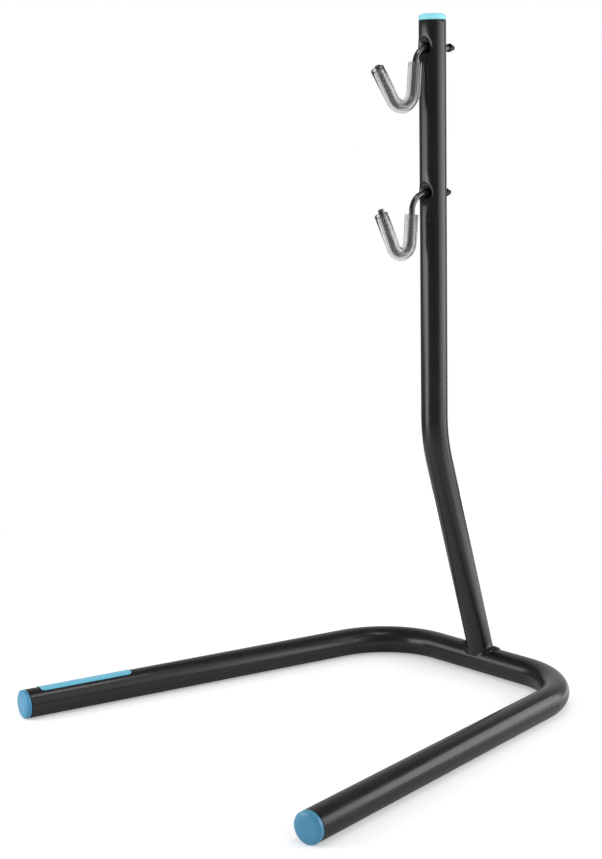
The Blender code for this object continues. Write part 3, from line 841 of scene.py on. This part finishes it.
def build_post(sizes, rod_radius, material):
    """The post: fitted to the crossbar, dented and drilled for the hooks."""
    radius = sizes.post_diameter / 2
    foot = foot_place(sizes)
    upward = leaning(sizes.post_lean)
    knee = foot + upward * sizes.post_foot_length
    top = Vector((0.0, knee.y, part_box("upright_post")[1].z))
    corners = [foot, knee, top]
    bends = [sizes.post_bend_radius]
    shape = tube_shell(radius, sizes.tube_wall, POST_SIDES, corners, bends, BEND_STEP, TUBE_LIP)
    for vert in shape.verts:
        if (vert.co - foot).dot(upward) < FOOT_RIM_HEIGHT:
            vert.co += upward * crossbar_hit(sizes, vert.co)
    count = round(2 * FLAT_HALF_HEIGHT / DENT_RING_PITCH)
    for hook in HOOK_SHAPES:
        for index in range(count + 1):
            level = hook_pivot(hook).z - FLAT_HALF_HEIGHT + index * 2 * FLAT_HALF_HEIGHT / count
            slice_shape(shape, (0.0, 0.0, level), UP)
    press_dents(shape, sizes, knee.y)
    piece = mesh_object("coated_post", shape)
    for hook in HOOK_SHAPES:
        pivot = hook_pivot(hook)
        for side, clearance in ((-1.0, FRONT_HOLE_CLEARANCE), (1.0, REAR_HOLE_CLEARANCE)):
            drill(piece, rod_radius + clearance, pivot, pivot + BACK * (side * 2 * radius))
    dress_piece(piece, material, "upright_post")


def bead_reach(bearing):
    """The bead's two reaches at a bearing, between the two nearest named ones and with its ripples."""
    degrees = math.degrees(bearing)
    index = max(1, next(place for place, reach in enumerate(BEAD_REACHES) if reach.degrees >= degrees))
    before, after = BEAD_REACHES[index - 1 : index + 1]
    share = (degrees - before.degrees) / (after.degrees - before.degrees)
    ripple = 1.0 + BEAD_RIPPLE * math.sin(BEAD_RIPPLES * bearing)
    up = before.up + (after.up - before.up) * share
    along = before.along + (after.along - before.along) * share
    return up * ripple, along * ripple


def bead_point(sizes, bearing, row):
    """A point of the bead's section: along its hollow face from the post to the crossbar, then inside."""
    lift = leaning(sizes.post_lean)
    forward = Vector((0.0, -lift.z, lift.y))
    post_normal = RIGHT * math.sin(bearing) + forward * math.cos(bearing)
    start = foot_place(sizes) + post_normal * (sizes.post_diameter / 2)
    corner = start + lift * crossbar_hit(sizes, start)
    crossbar_normal = Vector((0.0, corner.y, corner.z - sizes.base_diameter / 2)).normalized()
    outward = (post_normal + crossbar_normal).normalized()
    if row > BEAD_ROWS:
        return corner - outward * BEAD_DEPTH
    up, along = bead_reach(bearing)
    upper = corner + lift * up + post_normal * BEAD_LIFT
    beyond = start + post_normal * along
    lower = beyond + lift * (crossbar_hit(sizes, beyond) + BEAD_LIFT)
    middle = corner + outward * BEAD_FULLNESS
    share = row / BEAD_ROWS
    return upper.lerp(middle, share).lerp(middle.lerp(lower, share), share)


def build_weld(sizes, material):
    """The weld round the post's foot: a hollow bead, with drops of metal sunk into it at both sides."""
    shape = bmesh.new()
    circle = bmesh.ops.create_circle(shape, cap_ends=False, segments=BEAD_STEPS, radius=1.0)
    edges = list(dict.fromkeys(edge for vert in circle["verts"] for edge in vert.link_edges))
    section_rows = BEAD_ROWS + 2
    for _ in range(section_rows):
        grown = bmesh.ops.extrude_edge_only(shape, edges=edges)["geom"]
        bmesh.ops.translate(shape, verts=of_kind(grown, bmesh.types.BMVert), vec=UP)
        edges = [edge for edge in of_kind(grown, bmesh.types.BMEdge) if len(edge.link_faces) == 1]
    for vert in shape.verts:
        row = round(vert.co.z) % section_rows
        vert.co = bead_point(sizes, math.atan2(vert.co.x, -vert.co.y), row)
    close_skin(shape)
    base_radius = sizes.base_diameter / 2
    squash = Matrix.Diagonal((DAB_FLATNESS, 1.0, DAB_HEIGHT, 1.0))
    for dab in SIDE_DABS:
        normal = leaning(math.radians(dab.degrees))
        place = Vector((dab.along, 0.0, base_radius)) + normal * base_radius
        matrix = axis_matrix(place, normal, RIGHT) @ squash
        bmesh.ops.create_icosphere(shape, subdivisions=DAB_SUBDIVISIONS, radius=dab.radius, matrix=matrix)
    dress_piece(mesh_object("coated_weld", shape), material, "foot_weld")


def cap_profile(tube_radius, tube_wall, plug_length):
    """Half section of a cap whose head lies over the tube's end, with the tube's end at height 0."""
    plug_radius = tube_radius - tube_wall - SEAT_GAP
    core_radius = plug_radius - PLUG_RIB_HEIGHT
    hollow_radius = core_radius - PLUG_WALL
    flat_radius = tube_radius * CAP_FLAT_SHARE
    shoulder = SEAT_GAP + CAP_SIDE_HEIGHT
    plug_end = SEAT_GAP - plug_length
    profile = [(0.0, shoulder + CAP_DOME_HEIGHT)]
    for index in range(CAP_DOME_STEPS + 1):
        angle = math.pi / 2 * index / CAP_DOME_STEPS
        radius = flat_radius + (tube_radius - flat_radius) * math.sin(angle)
        profile.append((radius, shoulder + CAP_DOME_HEIGHT * math.cos(angle)))
    profile += [
        (tube_radius, SEAT_GAP + CAP_EDGE_ROUND),
        (tube_radius - CAP_EDGE_ROUND, SEAT_GAP),
        (core_radius, SEAT_GAP),
    ]
    for index in range(1, int((plug_length - PLUG_RIB_HEIGHT) / PLUG_RIB_PITCH) + 1):
        middle = SEAT_GAP - index * PLUG_RIB_PITCH
        profile += [
            (core_radius, middle + PLUG_RIB_HEIGHT),
            (plug_radius, middle),
            (core_radius, middle - PLUG_RIB_HEIGHT),
        ]
    profile += [(core_radius, plug_end), (hollow_radius, plug_end), (hollow_radius, SEAT_GAP)]
    return [*profile, (0.0, SEAT_GAP)]


def build_cap(node, profile, place, direction, side_axis, material):
    """One cap on its tube's end."""
    shape = spin_profile(profile, TUBE_SIDES)
    shape.transform(axis_matrix(place, direction, side_axis))
    dress_piece(mesh_object("moulded_" + node, shape), material, node)


def build_caps(sizes, leg_material, post_material_with_painted_light):
    """The caps of both legs and of the post; the post's cap takes a paler copy of the same plastic, which is
    painted light for the stronger light from above.
    """
    leg_profile = cap_profile(sizes.base_diameter / 2, sizes.tube_wall, LEG_PLUG_LENGTH)
    for side, node in ((-1, "left_leg_cap"), (1, "right_leg_cap")):
        direction = leg_direction(sizes, side)
        build_cap(node, leg_profile, leg_end(sizes, side), direction, direction.cross(UP), leg_material)
    post_profile = cap_profile(sizes.post_diameter / 2, sizes.tube_wall, POST_PLUG_LENGTH)
    top = Vector((0.0, hook_pivot(HOOK_SHAPES[0]).y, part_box("upright_post")[1].z))
    build_cap("post_cap", post_profile, top, UP, RIGHT, post_material_with_painted_light)


def build_label(sizes, material):
    """A thin sticker with rounded corners, bent round the left leg."""
    shape = bmesh.new()
    skin_radius = sizes.base_diameter / 2 + SEAT_GAP + LABEL_THICKNESS
    sweep = LABEL_END_ANGLE - LABEL_START_ANGLE
    bmesh.ops.create_grid(shape, x_segments=1, y_segments=1, size=0.5)
    bmesh.ops.scale(shape, vec=(sweep * skin_radius, LABEL_LENGTH, 1.0), verts=shape.verts)
    round_off(shape, list(shape.verts), LABEL_CORNER_RADIUS, LABEL_CORNER_STEPS, "VERTICES")
    for index in range(1, LABEL_STRIPS):
        slice_shape(shape, ((index / LABEL_STRIPS - 0.5) * sweep * skin_radius, 0.0, 0.0), RIGHT)
    mean_angle = (LABEL_START_ANGLE + LABEL_END_ANGLE) / 2
    direction = leg_direction(sizes, -1)
    inner_side = Vector((math.cos(sizes.leg_splay), -math.sin(sizes.leg_splay), 0.0))
    middle = leg_end(sizes, -1) - direction * (LABEL_END_MARGIN + LABEL_LENGTH / 2)
    for vert in shape.verts:
        angle = mean_angle + vert.co.x / skin_radius
        radial = inner_side * math.cos(angle) + UP * math.sin(angle)
        vert.co = middle + direction * vert.co.y + radial * skin_radius
    bmesh.ops.recalc_face_normals(shape, faces=shape.faces)
    nearest = min(shape.faces, key=lambda face: (face.calc_center_median() - middle).length)
    if nearest.normal.dot(nearest.calc_center_median() - middle) < 0.0:
        bmesh.ops.reverse_faces(shape, faces=shape.faces)
    piece = mesh_object("vinyl_leg_label", shape)
    wall = piece.modifiers.new("Wall", "SOLIDIFY")
    wall.thickness = LABEL_THICKNESS
    wall.offset = -1.0
    settle_modifiers(piece)
    dress_piece(piece, material, "leg_label")


def build_rod(hook, sizes, material):
    """A hook's bent rod, with a cut thread at its rear end."""
    shape = bmesh.new()
    rod_radius = sizes.rod_diameter / 2
    thread_radius = sizes.thread_diameter / 2
    play = sizes.hose_diameter / 2 - sizes.hose_wall - rod_radius - SEAT_GAP
    arm_lean = hook.arm_lean - play / hook.arm_length
    throat_corner, rod_end = arm_line(hook, sizes, arm_lean, hook.arm_length)
    rear = thread_end(hook, sizes)
    thread_length = sizes.thread_showing + sizes.nut_height + SEAT_GAP
    full_rod = rear - BACK * (thread_length + SHOULDER_LENGTH)
    end = start_disc(shape, thread_radius - THREAD_DEPTH, ROD_SIDES, rear, -BACK)
    half_turns = round(2 * thread_length / THREAD_PITCH)
    for index in range(half_turns):
        end = push_end(shape, end, -BACK * (thread_length / half_turns))
        resize_end(end, thread_radius - THREAD_DEPTH * (index % 2))
    end = push_end(shape, end, -BACK * SHOULDER_LENGTH)
    resize_end(end, rod_radius)
    corners = [full_rod, stem_point(hook, sizes, 0.0), throat_corner, rod_end]
    radii = [sizes.shank_bend_radius, hook.throat_radius]
    end = carry_end(shape, end, corners, radii, ROD_BEND_STEP)
    round_off(shape, rim_edges(end), ROD_CHAMFER, ROD_CHAMFER_STEPS)
    dress_piece(mesh_object("bent_" + hook.name, shape), material, hook.name)


def build_hose(hook, sizes, material):
    """The clear hose over a hook's stem, throat and arm."""
    radius = sizes.hose_diameter / 2
    throat_corner, mouth = arm_line(hook, sizes, hook.arm_lean, hook.arm_length - hook.rod_showing)
    corners = [stem_point(hook, sizes, hook.sleeve_drop), throat_corner, mouth]
    bends = [hook.throat_radius]
    shape = tube_shell(radius, sizes.hose_wall, HOSE_SIDES, corners, bends, ROD_BEND_STEP, HOSE_LIP)
    piece = mesh_object("clear_" + hook.name + "_hose", shape)
    dress_piece(piece, material, hook.name + "_sleeve")


def build_nut(hook, sizes, material):
    """A self-locking nut: a chamfered turned blank with six flats cut off it."""
    height = sizes.nut_height
    bore_radius = sizes.thread_diameter / 2
    flat_radius = sizes.nut_width / 2
    face_radius = flat_radius * NUT_FACE_SHARE
    corner_radius = sizes.nut_width / math.sqrt(3)
    hexagon_height = height - NUT_COLLAR_HEIGHT
    collar_radius = NUT_COLLAR_DIAMETER / 2
    profile = [
        (bore_radius, height),
        (collar_radius - NUT_CHAMFER, height),
        (collar_radius - NUT_COLLAR_ROUND, height - NUT_COLLAR_ROUND),
        (collar_radius, height - NUT_CHAMFER),
        (collar_radius, hexagon_height),
        (face_radius, hexagon_height),
        (corner_radius, hexagon_height - NUT_CHAMFER),
        (corner_radius, NUT_CHAMFER),
        (face_radius, 0.0),
        (bore_radius, 0.0),
    ]
    shape = spin_profile(profile, NUT_SIDES, closed=True)
    for index in range(NUT_FLATS):
        angle = 2 * math.pi / NUT_FLATS * index
        normal = Vector((math.cos(angle), math.sin(angle), 0.0))
        rim = slice_shape(shape, normal * flat_radius, normal, clear_outer=True)
        bmesh.ops.edgeloop_fill(shape, edges=rim)
    bmesh.ops.recalc_face_normals(shape, faces=shape.faces)
    seat = thread_end(hook, sizes) - BACK * (sizes.thread_showing + height)
    side = Vector((math.cos(NUT_TURN), 0.0, math.sin(NUT_TURN)))
    shape.transform(axis_matrix(seat, BACK, side))
    piece = mesh_object("locking_" + hook.name + "_nut", shape)
    dress_piece(piece, material, hook.name + "_nut")


# Studio


def glow_towards(tree, direction, light):
    """A brightness that grows from 0 to a light's gain as a direction turns towards the light's."""
    inputs = {0: direction, 1: light.direction}
    facing = add_node(tree, "ShaderNodeVectorMath", inputs, operation="DOT_PRODUCT")
    return remap(tree, facing.outputs["Value"], light.start, light.end, new_high=light.gain)


def ray_kinds(tree):
    """Whether a ray mirrors a surface, and whether it shows one, straight or through the hoses."""
    path = add_node(tree, "ShaderNodeLightPath").outputs
    seen = arithmetic(tree, "MAXIMUM", path["Is Camera Ray"], path["Is Transmission Ray"])
    return path["Is Glossy Ray"], seen


def build_floor(studio):
    """A round pale floor, white where nothing shades it, that melts into the room at its edge, and carries
    painted light: a glow towards +X and +Y that only mirrors see.
    """
    shape = bmesh.new()
    bmesh.ops.create_circle(shape, cap_ends=True, segments=FLOOR_SIDES, radius=FLOOR_RADIUS)
    floor = mesh_object("studio_floor", shape)
    material, tree, shader = new_material("studio_floor_paint")
    place = object_place(tree)
    mirrored, seen = ray_kinds(tree)
    distance = add_node(tree, "ShaderNodeVectorMath", {"Vector": place}, operation="LENGTH").outputs["Value"]
    far = remap(tree, distance, FLOOR_FADE_START, FLOOR_RADIUS, new_low=studio.floor_lift)
    # Painted light: the floor glows towards its right and rear, only in mirrors, for lamps that would light it
    # there.
    glows = [glow_towards(tree, place, light) for light in FLOOR_PAINTED_GLOWS]
    painted_floor_glow = arithmetic(tree, "MULTIPLY", mirrored, *glows)
    lift = arithmetic(tree, "MULTIPLY", far, seen)
    inputs = {
        "Base Color": opaque(studio.floor_colour),
        "Roughness": 0.9,
        "Specular IOR Level": 0.0,
        "Emission Color": WHITE,
        "Emission Strength": arithmetic(tree, "ADD", lift, painted_floor_glow),
    }
    feed(tree, shader, inputs)
    floor.data.materials.append(material)


def build_room(studio):
    """A room that looks white behind the stand, lights it softly, and mirrors darker than it looks."""
    world = bpy.data.worlds.new("studio_room")
    bpy.context.scene.world = world
    world.use_nodes = True
    tree = world.node_tree
    direction = add_node(tree, "ShaderNodeTexCoord").outputs["Generated"]
    glows = [glow_towards(tree, direction, light) for light in ROOM_LIGHTS]
    mirror = arithmetic(tree, "ADD", studio.room_mirror, *glows)
    mirrored, seen = ray_kinds(tree)
    room = add_node(tree, "ShaderNodeMix", {"Factor": mirrored, "A": studio.room_light, "B": mirror})
    strength = arithmetic(tree, "MAXIMUM", seen, room.outputs["Result"])
    feed(tree, tree.nodes["Background"], {"Color": WHITE, "Strength": strength})


def build_panel(panel, gain):
    """A soft light panel."""
    lamp = bpy.data.lights.new(panel.name, "AREA")
    lamp.shape = "RECTANGLE"
    lamp.size = panel.width
    lamp.size_y = panel.height
    lamp.energy = panel.power * gain
    holder = add_object(panel.name, lamp)
    holder.location = panel.place
    holder.rotation_euler = (Vector(panel.aim) - Vector(panel.place)).to_track_quat("-Z", "Y").to_euler()


def build_camera():
    """The camera at the photograph's place, with its slight roll."""
    data = bpy.data.cameras.new("studio_camera")
    data.lens = CAMERA_LENS
    camera = add_object("studio_camera", data)
    azimuth = Matrix.Rotation(CAMERA_AZIMUTH, 4, "Z")
    tilt = Matrix.Rotation(math.pi / 2 - CAMERA_ELEVATION, 4, "X")
    roll = Matrix.Rotation(CAMERA_ROLL, 4, "Z")
    camera.matrix_world = Matrix.Translation(CAMERA_PLACE) @ azimuth @ tilt @ roll
    bpy.context.scene.camera = camera


# Operators


class STAND_OT_tubes(Operator):
    """Build the base tube, the post and the weld between them"""

    bl_idname = "stand.tubes"
    bl_label = "Build Tubes"

    def execute(self, context):
        scene = context.scene
        material = coat_material(scene.stand_finishes.coat_colour)
        build_base_tube(scene.stand_sizes, material)
        build_post(scene.stand_sizes, scene.hook_sizes.rod_diameter / 2, material)
        build_weld(scene.stand_sizes, material)
        return {"FINISHED"}


class STAND_OT_caps(Operator):
    """Build the end caps of the legs and the post"""

    bl_idname = "stand.caps"
    bl_label = "Build End Caps"

    def execute(self, context):
        finishes = context.scene.stand_finishes
        leg_plastic = cap_material("blue_cap_plastic", finishes.cap_colour)
        # Same plastic for all caps; the post cap's paler colour is painted light from above.
        post_plastic_with_painted_light = cap_material("pale_blue_cap_plastic", finishes.post_cap_colour_with_painted_light)
        build_caps(context.scene.stand_sizes, leg_plastic, post_plastic_with_painted_light)
        return {"FINISHED"}


class STAND_OT_label(Operator):
    """Build the plain label on the left leg"""

    bl_idname = "stand.label"
    bl_label = "Build Label"

    def execute(self, context):
        scene = context.scene
        build_label(scene.stand_sizes, label_material(scene.stand_finishes.label_colour))
        return {"FINISHED"}


def build_on_hooks(context, build, material):
    """Builds one kind of piece for both hooks."""
    for hook in HOOK_SHAPES:
        build(hook, context.scene.hook_sizes, material)
    return {"FINISHED"}


class STAND_OT_rods(Operator):
    """Build the bent rods of both hooks"""

    bl_idname = "stand.rods"
    bl_label = "Build Hook Rods"

    def execute(self, context):
        return build_on_hooks(context, build_rod, rod_material(context.scene.stand_finishes.rod_colour))


class STAND_OT_hoses(Operator):
    """Build the clear hoses over both hooks"""

    bl_idname = "stand.hoses"
    bl_label = "Build Hoses"

    def execute(self, context):
        return build_on_hooks(context, build_hose, hose_material(context.scene.stand_finishes.hose_colour))


class STAND_OT_nuts(Operator):
    """Build the locking nuts behind the post"""

    bl_idname = "stand.nuts"
    bl_label = "Build Nuts"

    def execute(self, context):
        return build_on_hooks(context, build_nut, nut_material(context.scene.stand_finishes.rod_colour))


class STAND_OT_studio(Operator):
    """Lay out the floor, the light and the camera"""

    bl_idname = "stand.studio"
    bl_label = "Build Studio"

    def execute(self, context):
        studio = context.scene.studio_settings
        build_floor(studio)
        build_room(studio)
        for panel in PANELS:
            build_panel(panel, studio.panel_gain)
        build_camera()
        context.scene.view_settings.view_transform = "Standard"
        return {"FINISHED"}


class STAND_PT_panel(Panel):
    """Lists the stand's pieces"""

    bl_idname = "STAND_PT_panel"
    bl_label = "Bike Display Stand"
    bl_space_type = "VIEW_3D"
    bl_region_type = "UI"
    bl_category = "Bike Stand"

    def draw(self, context):
        for operator in OPERATORS:
            self.layout.operator(operator.bl_idname)
        for name in SETTINGS:
            box = self.layout.box()
            group = getattr(context.scene, name)
            for label in group.__annotations__:
                box.prop(group, label)


OPERATORS = (
    STAND_OT_tubes,
    STAND_OT_caps,
    STAND_OT_label,
    STAND_OT_rods,
    STAND_OT_hoses,
    STAND_OT_nuts,
    STAND_OT_studio,
)
SETTINGS = {
    "stand_sizes": StandSizes,
    "hook_sizes": HookSizes,
    "stand_finishes": StandFinishes,
    "studio_settings": StudioSettings,
}
CLASSES = (*SETTINGS.values(), *OPERATORS, STAND_PT_panel)


def register():
    for item in CLASSES:
        bpy.utils.register_class(item)
    for name, group in SETTINGS.items():
        setattr(bpy.types.Scene, name, PointerProperty(type=group))


def unregister():
    for name in SETTINGS:
        delattr(bpy.types.Scene, name)
    for item in reversed(CLASSES):
        bpy.utils.unregister_class(item)


def main():
    register()
    bpy.ops.stand.tubes()
    bpy.ops.stand.caps()
    bpy.ops.stand.label()
    bpy.ops.stand.rods()
    bpy.ops.stand.hoses()
    bpy.ops.stand.nuts()
    bpy.ops.stand.studio()


if __name__ == "__main__":
    main()
